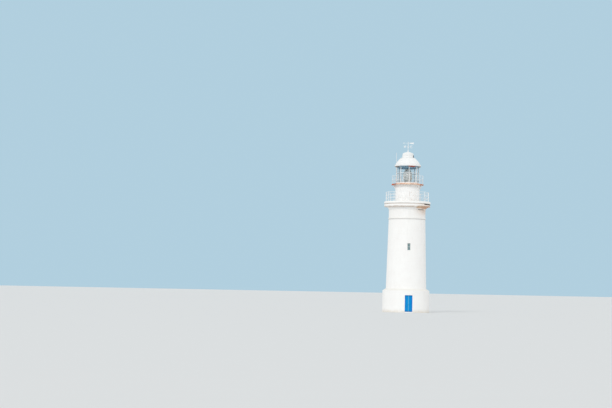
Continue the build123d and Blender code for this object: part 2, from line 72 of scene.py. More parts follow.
class Finish:
    """A procedural material, built up from where a point lies on the tower."""

    def __init__(self, name):
        self.material = bpy.data.materials.new(name)
        self.material.use_nodes = True
        self.tree = self.material.node_tree
        self.tree.nodes.clear()
        self.place = self.node("TexCoord", output="Object")
        self.x, self.y, self.z = [
            self.node("SeparateXYZ", inputs=[self.place], output=axis) for axis in "XYZ"
        ]

    def node(self, kind, settings=None, inputs=(), output=None, **sockets):
        """Adds a node: settings first, then its sockets in order or by name; gives one output."""
        made = self.tree.nodes.new("ShaderNode" + kind)
        for name, value in (settings or {}).items():
            setattr(made, name, value)
        usable = [socket for socket in made.inputs if socket.enabled]
        named = {socket.name.replace(" ", "_"): socket for socket in usable}
        for socket, value in [*zip(usable, inputs), *((named[key], sockets[key]) for key in sockets)]:
            if isinstance(value, Wire):
                self.tree.links.new(value.socket, socket)
            else:
                socket.default_value = value
        results = {socket.name: socket for socket in made.outputs if socket.enabled}
        return Wire(self, results.get(output) or next(iter(results.values()), None))

    def maths(self, operation, *values):
        return self.node("Math", {"operation": operation}, values)

    def angle(self):
        """The direction round the tower, in radians from the entrance."""
        return self.maths("ARCTAN2", self.x, 0 - self.y)

    def reach(self):
        """The distance from the tower's axis."""
        return self.maths("SQRT", self.x * self.x + self.y * self.y)

    def rise(self, value, low, high):
        """Climbs smoothly from 0 to 1 as the value goes from low to high, or falls if low is higher."""
        ends = {"From_Min": min(low, high), "From_Max": max(low, high)}
        goal = {"To_Min": 0.0, "To_Max": 1.0} if high > low else {"To_Min": 1.0, "To_Max": 0.0}
        return self.node("MapRange", {"interpolation_type": "SMOOTHSTEP"}, Value=value, **ends, **goal)

    def between(self, value, start, full, fade, end):
        """1 from full to fade, 0 before start and after end."""
        return self.rise(value, start, full) * self.rise(value, end, fade)

    def noise(self, scale, detail=3, stretch=(1, 1, 1)):
        """Cloudy noise, 0 to 1; stretch multiplies the coordinates, so a small number draws it out."""
        place = self.node("VectorMath", {"operation": "MULTIPLY"}, [self.place, stretch])
        return self.node("TexNoise", output="Fac", Vector=place, Scale=scale, Detail=detail)

    def patches(self, scale, low, high, stretch=(1, 1, 1)):
        """Ragged patches: the high ground of a noise."""
        return self.rise(self.noise(scale, 5, stretch), low, high)

    def blend(self, mask, first, second):
        return self.node("Mix", {"data_type": "RGBA"}, Factor=mask, A=first, B=second)

    def done(self, colour, roughness, relief, depth, **constants):
        """Ends the finish in a surface whose relief, 0 to 1, is depth metres high."""
        normal = self.node("Bump", Strength=1.0, Distance=depth, Height=relief)
        shader = self.node(
            "BsdfPrincipled", Base_Color=colour, Roughness=roughness, Normal=normal, **constants)
        self.node("OutputMaterial", inputs=[shader])
        return self.material


def tint(red, green, blue):
    """A colour given as it looks on a screen, 0 to 255, for a colour socket."""
    return tuple((part / 255) ** 2.2 for part in (red, green, blue)) + (1.0,)


def dress(finish, *names):
    """Gives CAD nodes their finish."""
    for name in names:
        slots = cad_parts[name].material_slots
        for each in slots:
            each.material = finish
        if not slots:
            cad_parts[name].data.materials.append(finish)


def foot_of(node):
    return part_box(node)[0].z


def head_of(node):
    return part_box(node)[1].z


bed_foot = foot_of("gallery_bed_slab")
bed_head = head_of("gallery_bed_slab")
corbel_foot = foot_of("corbel_side_segments")
frieze_height = 1.15
string_foot = corbel_foot - frieze_height
mean_radius = 2.4
course_height = 0.42
block_length = 0.95
joint_width = 0.012


def breakage(finish, angle, ragged, crumbly):
    """The gap on the right where the gallery's edge has broken away, and its painted shadow, dark and mottled
    brown.
    """
    along = angle + 0.2 * ragged + 0.12 * crumbly
    gap_shadow = finish.blend(finish.patches(20.0, 0.48, 0.6), tint(46, 40, 38), tint(98, 78, 66))
    return finish.between(along, 0.84, 0.90, 1.72, 1.78), gap_shadow


def limewash():
    finish = Finish("limewash")
    angle = finish.angle()
    height = finish.z
    unrolled = finish.node("CombineXYZ", X=angle * mean_radius, Y=height, Z=0.0)
    joints = finish.node(
        "TexBrick", {"offset": 0.5}, output="Fac", Vector=unrolled, Scale=1.0, Mortar_Size=joint_width,
        Mortar_Smooth=1.0, Brick_Width=block_length, Row_Height=course_height)
    colour = finish.blend(finish.patches(0.8, 0.35, 0.7), tint(251, 251, 249), tint(249, 248, 246))
    colour = finish.blend(joints * 0.10, colour, tint(220, 217, 210))
    # Under the newest coat show old flakes, their edges softened by lime, and a few hairline cracks.
    flakes = finish.patches(17.0, 0.60, 0.62) * finish.patches(1.1, 0.46, 0.60)
    colour = finish.blend(flakes * 0.45, colour, tint(233, 230, 222))
    wander = finish.node("TexNoise", output="Color", Vector=finish.place, Scale=2.6, Detail=5)
    wander = finish.node("VectorMath", {"operation": "SCALE"}, [wander], Scale=0.26)
    bent = finish.node("VectorMath", {"operation": "ADD"}, [finish.place, wander])
    to_edge = finish.node(
        "TexVoronoi", {"feature": "DISTANCE_TO_EDGE"}, output="Distance", Vector=bent, Scale=0.9)
    cracks = finish.rise(to_edge, 0.0034, 0.0010) * finish.patches(0.7, 0.54, 0.64)
    colour = finish.blend(cracks * 0.34, colour, tint(196, 192, 184))
    streaks = finish.patches(1.0, 0.56, 0.74, (4.2, 4.2, 0.16))
    under_cornice = finish.rise(height, 8.0, bed_foot)
    colour = finish.blend(streaks * (0.06 + 0.12 * under_cornice), colour, tint(198, 196, 188))
    # Painted shadow of the string course: a grey band, darkest at its foot and fading downwards.
    string_shadow = finish.between(height, string_foot - 0.16, string_foot, string_foot, string_foot + 0.05)
    colour = finish.blend(string_shadow * 0.45, colour, tint(168, 164, 156))
    ragged = finish.noise(2.4, 5)
    crumbly = finish.noise(14.0, 4)
    # The right side has weathered worst: a broad stain and loose render on the cornice; beside them, a broken
    # dark line at the corbel's foot is painted shadow of the cornice.
    beside = finish.between(angle, 0.12, 0.95, 1.5, 1.95)
    stain = beside * finish.rise(height, string_foot + 0.1, corbel_foot) * (0.55 + 0.6 * ragged)
    colour = finish.blend(finish.maths("MINIMUM", stain, 1.0) * 0.7, colour, tint(224, 200, 180))
    loose = finish.between(angle, 0.1, 0.5, 1.4, 1.6)
    loose = loose * finish.rise(height, corbel_foot, corbel_foot + 0.25)
    loose = loose * finish.rise(height, bed_foot + 0.12, bed_foot + 0.04) * (0.75 * ragged + 0.45 * crumbly)
    undercoat = finish.rise(loose, 0.40, 0.43)
    loose = finish.rise(loose, 0.46, 0.49)
    further = finish.rise(angle + 0.4 * finish.noise(9.0, 3), 0.75, 1.0)
    bare = finish.blend(further, tint(238, 200, 164), tint(214, 152, 116))
    pits = finish.patches(34.0, 0.50, 0.60)
    bare = finish.blend(pits * 0.55, bare, tint(124, 94, 76))
    bare = finish.blend(finish.patches(15.0, 0.56, 0.62) * 0.7, bare, tint(228, 206, 182))
    colour = finish.blend(undercoat * 0.5, colour, tint(226, 204, 180))
    colour = finish.blend(loose * 0.9, colour, bare)
    # Painted shadow of the cornice: a broken dark line at the corbel's foot on the right.
    cornice_shadow_line = finish.rise(height + 0.03 * crumbly, corbel_foot - 0.03, corbel_foot - 0.015)
    cornice_shadow_line = cornice_shadow_line * finish.rise(height - 0.05 * crumbly, corbel_foot + 0.02, corbel_foot + 0.01)
    cornice_shadow_line = cornice_shadow_line * finish.rise(angle + 0.1 * ragged, 0.55, 0.57)
    cornice_shadow_line = cornice_shadow_line * finish.rise(angle + 0.2 * ragged, 1.12, 1.06)
    cornice_shadow_line = cornice_shadow_line * finish.patches(11.0, 0.30, 0.42)
    colour = finish.blend(cornice_shadow_line * 0.9, colour, tint(84, 72, 64))
    # A brown-grey band round the bed slab's foot: part rust stain, part painted shade beneath the slab.
    slab_edge_stain_and_shade = finish.between(height, bed_foot - 0.26, bed_foot - 0.02, bed_foot + 0.02, bed_foot + 0.10)
    colour = finish.blend(slab_edge_stain_and_shade * (0.25 + 0.45 * finish.rise(ragged, 0.3, 0.6)), colour, tint(198, 178, 160))
    top = finish.rise(height, bed_head - 0.04, bed_head - 0.005)
    colour = finish.blend(top * 0.6, colour, tint(196, 160, 136))
    # Where the gallery's edge has broken away on the right, the gap is painted dark as the shadow inside it.
    gap, gap_shadow = breakage(finish, angle, ragged, crumbly)
    broken = gap * finish.rise(height + 0.09 * crumbly, bed_head - 0.06, bed_head - 0.05)
    colour = finish.blend(broken, colour, gap_shadow)
    splash = finish.rise(height + 0.5 * finish.noise(3.0), 0.75, 0.2)
    colour = finish.blend(splash * 0.5, colour, tint(214, 203, 182))
    facing_up = finish.node("SeparateXYZ", inputs=[finish.node("NewGeometry", output="Normal")], output="Z")
    colour = finish.blend(finish.rise(facing_up, 0.15, 0.7) * 0.5, colour, tint(226, 223, 214))
    grain = finish.noise(38.0, 4)
    trowel = finish.noise(2.6, 2, (1, 1, 1.8))
    brushed = finish.noise(1.0, 4, (7, 7, 70))
    relief = 0.4 * trowel + 0.2 * grain + 0.2 * brushed - 0.25 * joints - 0.2 * flakes - 0.15 * cracks
    relief = relief - 0.4 * undercoat - 0.6 * loose * (1 + pits) - cornice_shadow_line - broken
    return finish.done(colour, 0.84 + 0.12 * grain, relief, 0.006)


lime = limewash()
dress(lime, "base_wall_beside_door_left", "base_wall_beside_door_right", "base_wall_over_door",
      "base_wall_side_segments", "base_wall_corner_segments", "shaft_wall_side_segments",
      "shaft_wall_corner_segments", "corbel_side_segments", "corbel_corner_segments", "gallery_bed_slab")


# The floors: the paved ground floor, the door sill and the gallery's deck.
# Hard limestone slabs, laid in mortar and painted with the walls, worn bare where people tread.
# The deck's nosing is limewashed with the cornice, and broken away with it on the right.
deck_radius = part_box("gallery_deck")[1].x
fan_radius = 2.9
slab_length = 0.9
slab_width = 0.66
slab_joint = 0.008


def paving():
    finish = Finish("paving")
    angle = finish.angle()
    fanned = finish.node("CombineXYZ", X=angle * fan_radius, Y=finish.reach(), Z=0.0)
    joints = finish.node(
        "TexBrick", {"offset": 0.5}, output="Fac", Vector=fanned, Scale=1.0, Mortar_Size=slab_joint,
        Mortar_Smooth=0.5, Brick_Width=slab_length, Row_Height=slab_width)
    wear = finish.patches(2.1, 0.45, 0.65)
    colour = finish.blend(wear, tint(244, 242, 237), tint(231, 228, 220))
    colour = finish.blend(joints * 0.45, colour, tint(168, 160, 148))
    nosing = finish.rise(finish.reach(), deck_radius - 0.03, deck_radius - 0.01)
    colour = finish.blend(nosing * 0.9, colour, tint(252, 252, 250))
    crumbly = finish.noise(14.0, 4)
    # Where the nosing has broken away on the right, the gap is painted dark as the shadow inside it.
    gap, gap_shadow = breakage(finish, angle, finish.noise(2.4, 5), crumbly)
    broken = gap * finish.rise(finish.z, bed_head - 0.01, bed_head)
    broken = broken * finish.rise(finish.z - 0.02 * crumbly, bed_head + 0.025, bed_head + 0.015)
    colour = finish.blend(finish.rise(broken, 0.1, 0.2), colour, gap_shadow)
    grain = finish.noise(45.0, 4)
    return finish.done(colour, 0.75 + 0.15 * grain, 0.5 * grain - 0.5 * joints, 0.003)


dress(paving(), "ground_floor", "door_sill", "gallery_deck")


# The entrance: a rebated frame and a pair of framed leaves, hung on pintles behind the frame.
# Seasoned timber in azure gloss, paler along the meeting stiles and grimy at the foot.
# Mouldings are nailed round each panel, and a weatherboard is screwed across each bottom rail.
def azure_paint():
    finish = Finish("azure_paint")
    brushed = finish.noise(1.0, 4, (60, 60, 2.2))
    faded = finish.patches(3.0, 0.42, 0.68)
    across = finish.maths("ABSOLUTE", finish.x)
    colour = finish.blend(faded * 0.45, tint(0, 143, 216), tint(0, 160, 232))
    meeting_stiles = finish.rise(across, 0.085, 0.02)
    colour = finish.blend(meeting_stiles * 0.6, colour, tint(116, 206, 238))
    on_frame = finish.rise(across, 0.405, 0.42)
    colour = finish.blend(on_frame, colour, tint(0, 112, 206))
    low = finish.rise(finish.z + 0.22 * finish.noise(6.0), 0.5, 0.15)
    colour = finish.blend(low * 0.5, colour, tint(4, 92, 158))
    chips = finish.patches(26.0, 0.66, 0.7) * finish.rise(finish.z, 1.2, 0.2)
    colour = finish.blend(chips * 0.7, colour, tint(150, 150, 140))
    return finish.done(colour, 0.30 + 0.18 * faded, 0.6 * brushed - 0.6 * chips, 0.0012,
                       Specular_IOR_Level=0.12)


def worn_coat(name, patches, share, sound, worn, roughness, grain, depth, **constants):
    """A coat worn in patches; roughness is the sound coat's, and then what wear adds to it."""
    finish = Finish(name)
    wear = finish.patches(*patches)
    colour = finish.blend(wear * share, tint(*sound), tint(*worn))
    smooth, added = roughness
    return finish.done(colour, smooth + added * wear, finish.noise(*grain), depth, **constants)


azure = azure_paint()
iron = worn_coat("black_iron", (40.0, 0.5, 0.7), 0.6, (38, 39, 41), (96, 72, 56), (0.45, 0.3), (90.0, 3),
                 0.0006, Metallic=0.3)
dress(azure, "door_frame", "door_leaf_left", "door_leaf_right")
dress(iron, "door_pintles", "door_handle")


def mesh_piece(name, shapes, finish, body="tower"):
    """One object made of (points, faces) shapes, which rides on a body of the tower."""
    points = []
    faces = []
    for shape_points, shape_faces in shapes:
        first = len(points)
        points += [tuple(point) for point in shape_points]
        faces += [[first + corner for corner in face] for face in shape_faces]
    mesh = bpy.data.meshes.new(name)
    mesh.from_pydata(points, [], faces)
    mesh.shade_smooth()
    mesh.set_sharp_from_angle(angle=radians(32))
    mesh.materials.append(finish)
    piece = bpy.data.objects.new(name, mesh)
    bpy.context.collection.objects.link(piece)
    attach(piece, body)


def placed(shape, matrix):
    points, faces = shape
    return [matrix @ Vector(point) for point in points], faces


def board(low, high, edge=0.003):
    """A block with planed edges, from its low corner to its high one."""
    work = bmesh.new()
    bmesh.ops.create_cube(work, size=1.0)
    middle = (Vector(low) + Vector(high)) / 2
    for vert in work.verts:
        vert.co = middle + Vector(part * (b - a) for part, a, b in zip(vert.co, low, high))
    bmesh.ops.bevel(work, geom=work.edges[:], offset=edge, segments=2, affect="EDGES", profile=0.7)
    points = [vert.co.copy() for vert in work.verts]
    faces = [[vert.index for vert in face.verts] for face in work.faces]
    work.free()
    return points, faces


def turned(outline, sides=16, closed=False):
    """A form turned about +Z from (radius, height) points; closed joins the last to the first."""
    points = []
    for number in range(sides):
        turn = 2 * pi * number / sides
        points += [(radius * cos(turn), radius * sin(turn), height) for radius, height in outline]
    steps = len(outline)
    faces = []
    for number in range(sides):
        here = number * steps
        there = (number + 1) % sides * steps
        for step in range(steps if closed else steps - 1):
            after = (step + 1) % steps
            faces.append([here + step, there + step, there + after, here + after])
    if not closed:
        faces.append([number * steps for number in reversed(range(sides))])
        faces.append([number * steps + steps - 1 for number in range(sides)])
    return points, faces


def frame_moulding(x, z, y, width, depth):
    """A mitred moulding round an upright rectangle; y is its back, and depth is signed, outwards."""
    section = [(0, 0), (0, 0.6), (0.35, 1.0), (0.65, 0.8), (1, 0.25), (1, 0)]
    corners = [(x[0], z[0], 1, 1), (x[1], z[0], -1, 1), (x[1], z[1], -1, -1), (x[0], z[1], 1, -1)]
    points = []
    for at_x, at_z, in_x, in_z in corners:
        points += [(at_x + in_x * inward * width, y + out * depth, at_z + in_z * inward * width)
                   for inward, out in section]
    steps = len(section)
    faces = []
    for corner in range(4):
        after = (corner + 1) % 4 * steps
        here = corner * steps
        for step in range(steps):
            up = (step + 1) % steps
            faces.append([here + step, after + step, after + up, here + up])
    return points, faces


leaf_low, leaf_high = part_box("door_leaf_right")
leaf_face = leaf_low.y
leaf_height = leaf_high.z - leaf_low.z
leaf_thickness = 0.05
hinge_edge = 0.42
stile = 0.095
panel_depth = 0.014
lock_rail_share = 0.42
lock_rail = leaf_low.z + lock_rail_share * leaf_height
panel_x = (leaf_low.x + stile, hinge_edge - stile)
panel_heights = [(leaf_low.z + 2 * stile, lock_rail), (lock_rail + stile, leaf_high.z - stile)]
moulding_width = 0.03
moulding_depth = panel_depth + 0.004
board_x = (0.025, 0.39)
board_foot = leaf_low.z + 0.02
board_height = 0.075
board_depth = 0.022
board_slope = 0.7
leaves = ((-1, "door_left"), (1, "door_right"))
for side, body in leaves:
    flip = Matrix.Diagonal((side, 1, 1, 1))
    outside = leaf_face + panel_depth
    inside = leaf_face + leaf_thickness - panel_depth
    trims = []
    for height in panel_heights:
        for back, depth in ((outside, -moulding_depth), (inside, moulding_depth)):
            trims.append(placed(frame_moulding(panel_x, height, back, moulding_width, depth), flip))
    shed = board((board_x[0], leaf_face - board_depth, board_foot),
                 (board_x[1], leaf_face, board_foot + board_height))
    for point in shed[0]:
        if point.z > board_foot + board_height / 2 and point.y < leaf_face - board_depth / 2:
            point.y += board_depth * board_slope
    trims.append(placed(shed, flip))
    mesh_piece(f"door_mouldings_{body}", trims, azure, body)


def stud(radius, height, sides=10):
    """A domed bolt or nail head that stands on its plate."""
    dome = [(radius, 0), (radius, 0.35 * height), (0.8 * radius, 0.75 * height), (0.35 * radius, height)]
    return turned(dome, sides)


def facing(x, y, z, outwards):
    """Stands a form on an upright face that looks along -Y, or along +Y."""
    return Matrix.Translation((x, y, z)) @ Matrix.Rotation(radians(-90 * outwards), 4, "X")


def ring(radius, thickness, turns=28, sides=8):
    """A round bar bent into a ring about +Z."""
    steps = [2 * pi * step / sides for step in range(sides)]
    section = [(radius + thickness * cos(step), thickness * sin(step)) for step in steps]
    return turned(section, turns, closed=True)


strap_half = 0.025
strap_thickness = 0.006
strap_levels = [leaf_low.z + share * leaf_height + strap_half for share in (0.14, 0.5, 0.86)]
strap_back = leaf_face + leaf_thickness + strap_thickness
lock_low, lock_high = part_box("door_handle")
lock_level = (lock_low.z + lock_high.z) / 2
for side, body in leaves:
    studs = [placed(stud(0.008, 0.005), facing(side * x, strap_back, level, 1))
             for level in strap_levels for x in (0.14, 0.24, 0.34)]
    if side > 0:
        pull_x = leaf_low.x + stile / 2
        hung = facing(pull_x, lock_low.y - 0.006, lock_level - 0.028, -1)
        studs.append(placed(ring(0.032, 0.005), hung))
        studs.append(placed(stud(0.009, 0.012), facing(pull_x, lock_low.y, lock_level + 0.004, -1)))
        inner_ring = facing(leaf_low.x + 0.09, lock_high.y + 0.004, lock_level - 0.02, 1)
        studs.append(placed(ring(0.018, 0.003), inner_ring))
    mesh_piece(f"door_ironwork_{body}", studs, iron, body)


# The shaft's windows: a two-light sash in a deep reveal, at the front and at the back.
# White-painted softwood with putty round the glass, and a sloping sill of painted cement that sheds rain in
# front of the frame. The joinery's white is greyed, partly by weathering and partly as painted shade of the
# deep reveal. The old glass is slightly green and nearly opaque, and its dark colour is painted shade of the
# dim room behind.
joinery_weathering_and_shade = worn_coat("joinery_paint", (9.0, 0.5, 0.72), 0.5, (184, 192, 190), (164, 168, 162),
                       (0.42, 0.2), (1.0, 3, (70, 70, 3)), 0.0008)
old_glass = worn_coat("old_glass", (5.0, 0.4, 0.7), 1.0, (116, 146, 150), (152, 172, 168),
                      (0.06, 0.2), (6.0, 1), 0.001, Alpha=0.92, Coat_Weight=0.6)
dress(joinery_weathering_and_shade, "window_frames")
dress(old_glass, "window_panes")
pane_low, pane_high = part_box("window_panes")
frame_low, frame_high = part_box("window_frames")
light_half = pane_high.x
light_gap = 0.042
light_height = (pane_high.z - pane_low.z - light_gap) / 2
putty = []
for light in range(2):
    foot = pane_low.z + light * (light_height + light_gap)
    across = (-light_half, light_half)
    front_frame = frame_moulding(across, (foot, foot + light_height), pane_low.y + 0.001, 0.02, -0.016)
    putty.append(front_frame)
    putty.append(placed(front_frame, Matrix.Rotation(pi, 4, "Z")))
mesh_piece("window_putty", putty, joinery_weathering_and_shade)
sill_out = frame_low.y - 0.115
sill_back = frame_low.y + 0.004
sill_section = [(sill_out, -0.004), (sill_out, 0.010), (sill_back, 0.048), (sill_back, -0.004)]
sill_half = frame_high.x - 0.002
sill_points = [(x, y, frame_low.z + z) for x in (-sill_half, sill_half) for y, z in sill_section]
bar_faces = [[0, 1, 2, 3], [7, 6, 5, 4], [0, 4, 5, 1], [1, 5, 6, 2], [2, 6, 7, 3], [3, 7, 4, 0]]
sills = [placed((sill_points, bar_faces), Matrix.Rotation(turn, 4, "Z")) for turn in (0, pi)]
mesh_piece("window_sills", sills, lime)


# The gallery's railing: sixteen round posts on bolted feet, and three rails through them.
# Wrought iron, painted white over and over. Every crossing has a forged collar, and rust weeps
# from the collars and from the feet, where the paint cracks first.
def white_iron(name, rust, foot, head):
    """White gloss on iron; rust gathers towards the foot level, less so at the head level."""
    finish = Finish(name)
    drips = finish.patches(7.0, 0.52, 0.66, (1, 1, 0.35))
    spots = finish.patches(30.0, 0.62, 0.70)
    low = finish.rise(finish.z, head, foot)
    colour = finish.blend(finish.patches(2.5, 0.4, 0.7), tint(254, 254, 253), tint(249, 250, 249))
    rusty = finish.maths("MINIMUM", (drips * (0.25 + 0.75 * low) + spots * 0.5) * rust, 1.0)
    stain = finish.blend(finish.noise(20.0, 2), tint(206, 150, 108), tint(150, 88, 56))
    colour = finish.blend(rusty, colour, stain)
    relief = 0.5 * finish.noise(55.0, 3) - 0.5 * spots
    return finish.done(colour, 0.38 + 0.4 * rusty, relief, 0.0012)


rail_low, rail_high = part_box("gallery_railing_side_bays")
rail_paint = white_iron("gallery_rail_paint", 0.30, rail_low.z, rail_high.z)
dress(rail_paint, "gallery_railing_side_bays", "gallery_railing_corner_bays")


def around(direction, radius, level=0.0):
    """Places a form that faces outwards along +X at a direction, radius and level round the tower."""
    return Matrix.Rotation(radians(direction - 90), 4, "Z") @ Matrix.Translation((radius, 0, level))


def railing_joints(name, node, posts, heights, post_radius, finish):
    """Collars where the rails cross the posts, cups on the feet, and four bolts in each foot."""
    low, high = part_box(node)
    radius = high.x - 2.5 * post_radius
    reach = 2.1 * post_radius
    foot_height = 0.016
    swell = [(1, -0.5), (1.35, -0.42), (1.7, -0.2), (1.8, 0), (1.7, 0.2), (1.35, 0.42), (1, 0.5)]
    collar = turned([(out * post_radius, up * reach) for out, up in swell], 12)
    dish = [(1.9, 0), (1.7, 0.012), (1.2, 0.03), (1, 0.06)]
    cup = turned([(out * post_radius, up) for out, up in dish], 12)
    bolt = stud(0.28 * post_radius, 0.012, 6)
    shapes = []
    for post in range(posts):
        direction = 360 / posts * post
        for height in heights:
            shapes.append(placed(collar, around(direction, radius, low.z + height)))
        shapes.append(placed(cup, around(direction, radius, low.z + foot_height)))
        for corner in range(4):
            spin = Matrix.Rotation(radians(45 + 90 * corner), 4, "Z")
            seat = spin @ Matrix.Translation((2.15 * post_radius, 0, foot_height))
            shapes.append(placed(bolt, around(direction, radius, low.z) @ seat))
    mesh_piece(name, shapes, finish)


post_count = 16
gallery_rails = (0.40, 0.79, 1.17)
railing_joints("gallery_railing_joints", "gallery_railing_side_bays", post_count, gallery_rails, 0.024,
               rail_paint)


# The lantern base: a drum of eight cast-iron plates, which the brackets and the catwalk hang on.
# White-painted castings bolted together through cover strips, between a foot ring and a head ring.
# A low iron door on the right opens to the gallery; its edges have rusted through the paint.
base_low, base_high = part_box("murette_panels_between")
base_radius = base_high.x
door_turn = 15
base_paint = white_iron("lantern_base_paint", 0.14, base_low.z, base_high.z)
dress(base_paint, "murette_panels_door_side", "murette_panels_between", "catwalk_brackets", "gallery_door")


def on_wall(direction, radius, level):
    """Stands a form on a round wall: its +Z points outwards and its +Y up."""
    lay = Matrix(((0, 0, 1, 0), (1, 0, 0, 0), (0, 1, 0, 0), (0, 0, 0, 1)))
    return around(direction, radius, level) @ lay


def row(shape, count, radius, level=0.0, first=0.0):
    """Evenly spaced copies of a form on a round wall, from a first direction on."""
    return [placed(shape, on_wall(first + 360 / count * number, radius, level)) for number in range(count)]


def wall_ring(radius, foot, head, proud):
    """A flat hoop round a wall, with eased edges."""
    ease = 0.3 * proud
    back = radius - 0.004
    face = radius + proud
    section = [(back, foot), (face - ease, foot), (face, foot + ease),
               (face, head - ease), (face - ease, head), (back, head)]
    return turned(section, 128, closed=True)


def spaced(low, high, margin, count):
    """Evenly spaced levels, the first and last a margin in from the ends."""
    return [low + margin + number * (high - low - 2 * margin) / (count - 1) for number in range(count)]


strip_width = 0.09
strip_thickness = 0.012
ring_height = 0.09
ring_proud = 0.02
strips = [wall_ring(base_radius, base_low.z, base_low.z + ring_height, ring_proud)]
strips.append(wall_ring(base_radius, base_high.z - ring_height, base_high.z, ring_proud))
strip = board((-strip_width / 2, base_low.z + ring_height, -0.004),
              (strip_width / 2, base_high.z - ring_height, strip_thickness))
first_joint = door_turn + 22.5
strips += row(strip, 8, base_radius, 0, first_joint)
bolt = stud(0.014, 0.012, 6)
for level in spaced(base_low.z, base_high.z, 0.2, 9):
    strips += row(bolt, 8, base_radius + strip_thickness - 0.001, level, first_joint)
for level in (base_low.z + ring_height / 2, base_high.z - ring_height / 2):
    strips += row(bolt, 48, base_radius + 0.019, level, 3.75)
mesh_piece("lantern_base_strips", strips, base_paint)
door_low, door_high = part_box("gallery_door")
door_paint = white_iron("gallery_door_trim_paint", 1.0, door_low.z, door_high.z + 1.0)
door_half = 0.325
trim = 0.05
trim_back = -0.03
trim_face = 0.012
surround = []
for side in (-1, 1):
    x = side * (door_half + trim / 2)
    surround.append(board((x - trim / 2, door_low.z - trim, trim_back),
                          (x + trim / 2, door_high.z + trim, trim_face)))
for level in (door_low.z - trim, door_high.z):
    surround.append(board((-door_half, level, trim_back), (door_half, level + trim, trim_face)))
wall_face = base_radius * cos(radians(7))
surround = [placed(shape, on_wall(door_turn, wall_face, 0)) for shape in surround]
for level in (door_low.z + 0.22, door_high.z - 0.22):
    strap = board((-door_half - 0.02, level - 0.025, 0.0), (door_half * 0.5, level + 0.025, 0.010))
    surround.append(placed(strap, on_wall(door_turn, base_radius - 0.006, 0)))
    knuckle = turned([(0.014, -0.045), (0.014, 0.045)], 10)
    surround.append(placed(knuckle, around(door_turn - 13.2, base_radius + 0.008, level)))
lever = board((0.2, door_low.z + 0.60, 0.0), (0.235, door_low.z + 0.78, 0.028), 0.006)
surround.append(placed(lever, on_wall(door_turn, base_radius - 0.012, 0)))
mesh_piece("gallery_door_trim", surround, door_paint)


# The catwalk: eight cast brackets bolted to the lantern base, and a ring of iron plates on them.
# The plates were painted white, and salt has rusted them through at the rim and at their joints.
# An angle iron stiffens the rim from below, and a light railing stands in it.
walk_low, walk_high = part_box("catwalk_side_plates")
walk_radius = walk_high.x


def rusty_plate():
    finish = Finish("rusty_plate")
    angle = finish.angle()
    reach = finish.reach()
    flake = finish.patches(18.0, 0.45, 0.62)
    ends = finish.rise(finish.x, -1.45, -1.75) + 0.4 * finish.rise(finish.x, 1.25, 1.6)
    amount = finish.maths("MINIMUM", finish.patches(3.6, 0.38, 0.60) * 0.6 + ends + flake * 0.2, 1.0)
    rust = finish.blend(flake, tint(210, 104, 46), tint(156, 74, 34))
    colour = finish.blend(amount, tint(250, 214, 178), rust)
    below = finish.rise(finish.z - 0.02 * finish.noise(12.0, 3), walk_low.z + 0.015, walk_low.z)
    frayed = finish.x + 0.1 * finish.noise(9.0, 3)
    scabby = finish.rise(frayed, -1.50, -1.60) * below
    colour = finish.blend(scabby * 0.8, colour, tint(128, 62, 38))
    raw = finish.rise(frayed, -1.76, -1.84) * below
    colour = finish.blend(raw * 0.9, colour, tint(240, 92, 26))
    # Painted shade beneath the catwalk: inboard of the rim, the plates' lowest surfaces are painted grey,
    # less so at the rusty ends.
    inboard = finish.rise(reach, walk_radius, walk_radius - 0.06)
    underside_shade = finish.rise(finish.z, walk_low.z + 0.012, walk_low.z + 0.002) * inboard
    colour = finish.blend(underside_shade * (0.9 - 0.7 * ends), colour, tint(196, 190, 184))
    lozenges = finish.maths("SINE", angle * 190.0) * finish.maths("SINE", reach * 110.0)
    tread = finish.rise(lozenges, 0.55, 0.8) * finish.rise(finish.z, walk_high.z - 0.004, walk_high.z - 0.001)
    relief = 0.4 * finish.noise(60.0, 4) + 0.3 * flake + 0.8 * tread
    return finish.done(colour, 0.62 + 0.25 * amount, relief, 0.003)


rust = rusty_plate()
dress(rust, "catwalk_side_plates", "catwalk_corner_plates")
rim_depth = 0.06
rim_angle = wall_ring(walk_radius - 0.013, walk_low.z - rim_depth, walk_low.z, 0.012)
mesh_piece("catwalk_rim_angle", [rim_angle], rust)
walk_rail_low, walk_rail_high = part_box("catwalk_railing_side_bays")
walk_paint = white_iron("catwalk_rail_paint", 0.35, walk_rail_low.z, walk_rail_high.z)
dress(walk_paint, "catwalk_railing_side_bays", "catwalk_railing_corner_bays")
catwalk_rails = (0.53, 1.06)
railing_joints("catwalk_railing_joints", "catwalk_railing_side_bays", post_count, catwalk_rails, 0.015,
               walk_paint)
plate = board((-0.05, -0.05, -0.004), (0.05, 0.05, 0.012))
bolt_places = [(x, y, 0.011) for y in (-0.03, 0.03) for x in (-0.03, 0.03)]
plate_bolts = [placed(stud(0.010, 0.010, 6), Matrix.Translation(place)) for place in bolt_places]
fixings = []
for drop in (0.08, 0.30, 0.54):
    for shape in (plate, *plate_bolts):
        fixings += row(shape, 8, base_radius, walk_low.z - drop)
mesh_piece("bracket_fixings", fixings, base_paint)


# The aerial: a slim pole clamped to the catwalk's railing on the left.
# Galvanised tube in two lengths, with a socket where they meet.
def galvanised():
    finish = Finish("galvanised")
    spangle = finish.node("TexVoronoi", output="Distance", Vector=finish.place, Scale=60.0)
    colour = finish.blend(spangle, tint(246, 244, 244), tint(222, 224, 226))
    return finish.done(colour, 0.4 + 0.2 * spangle, spangle, 0.0004, Metallic=0.15)


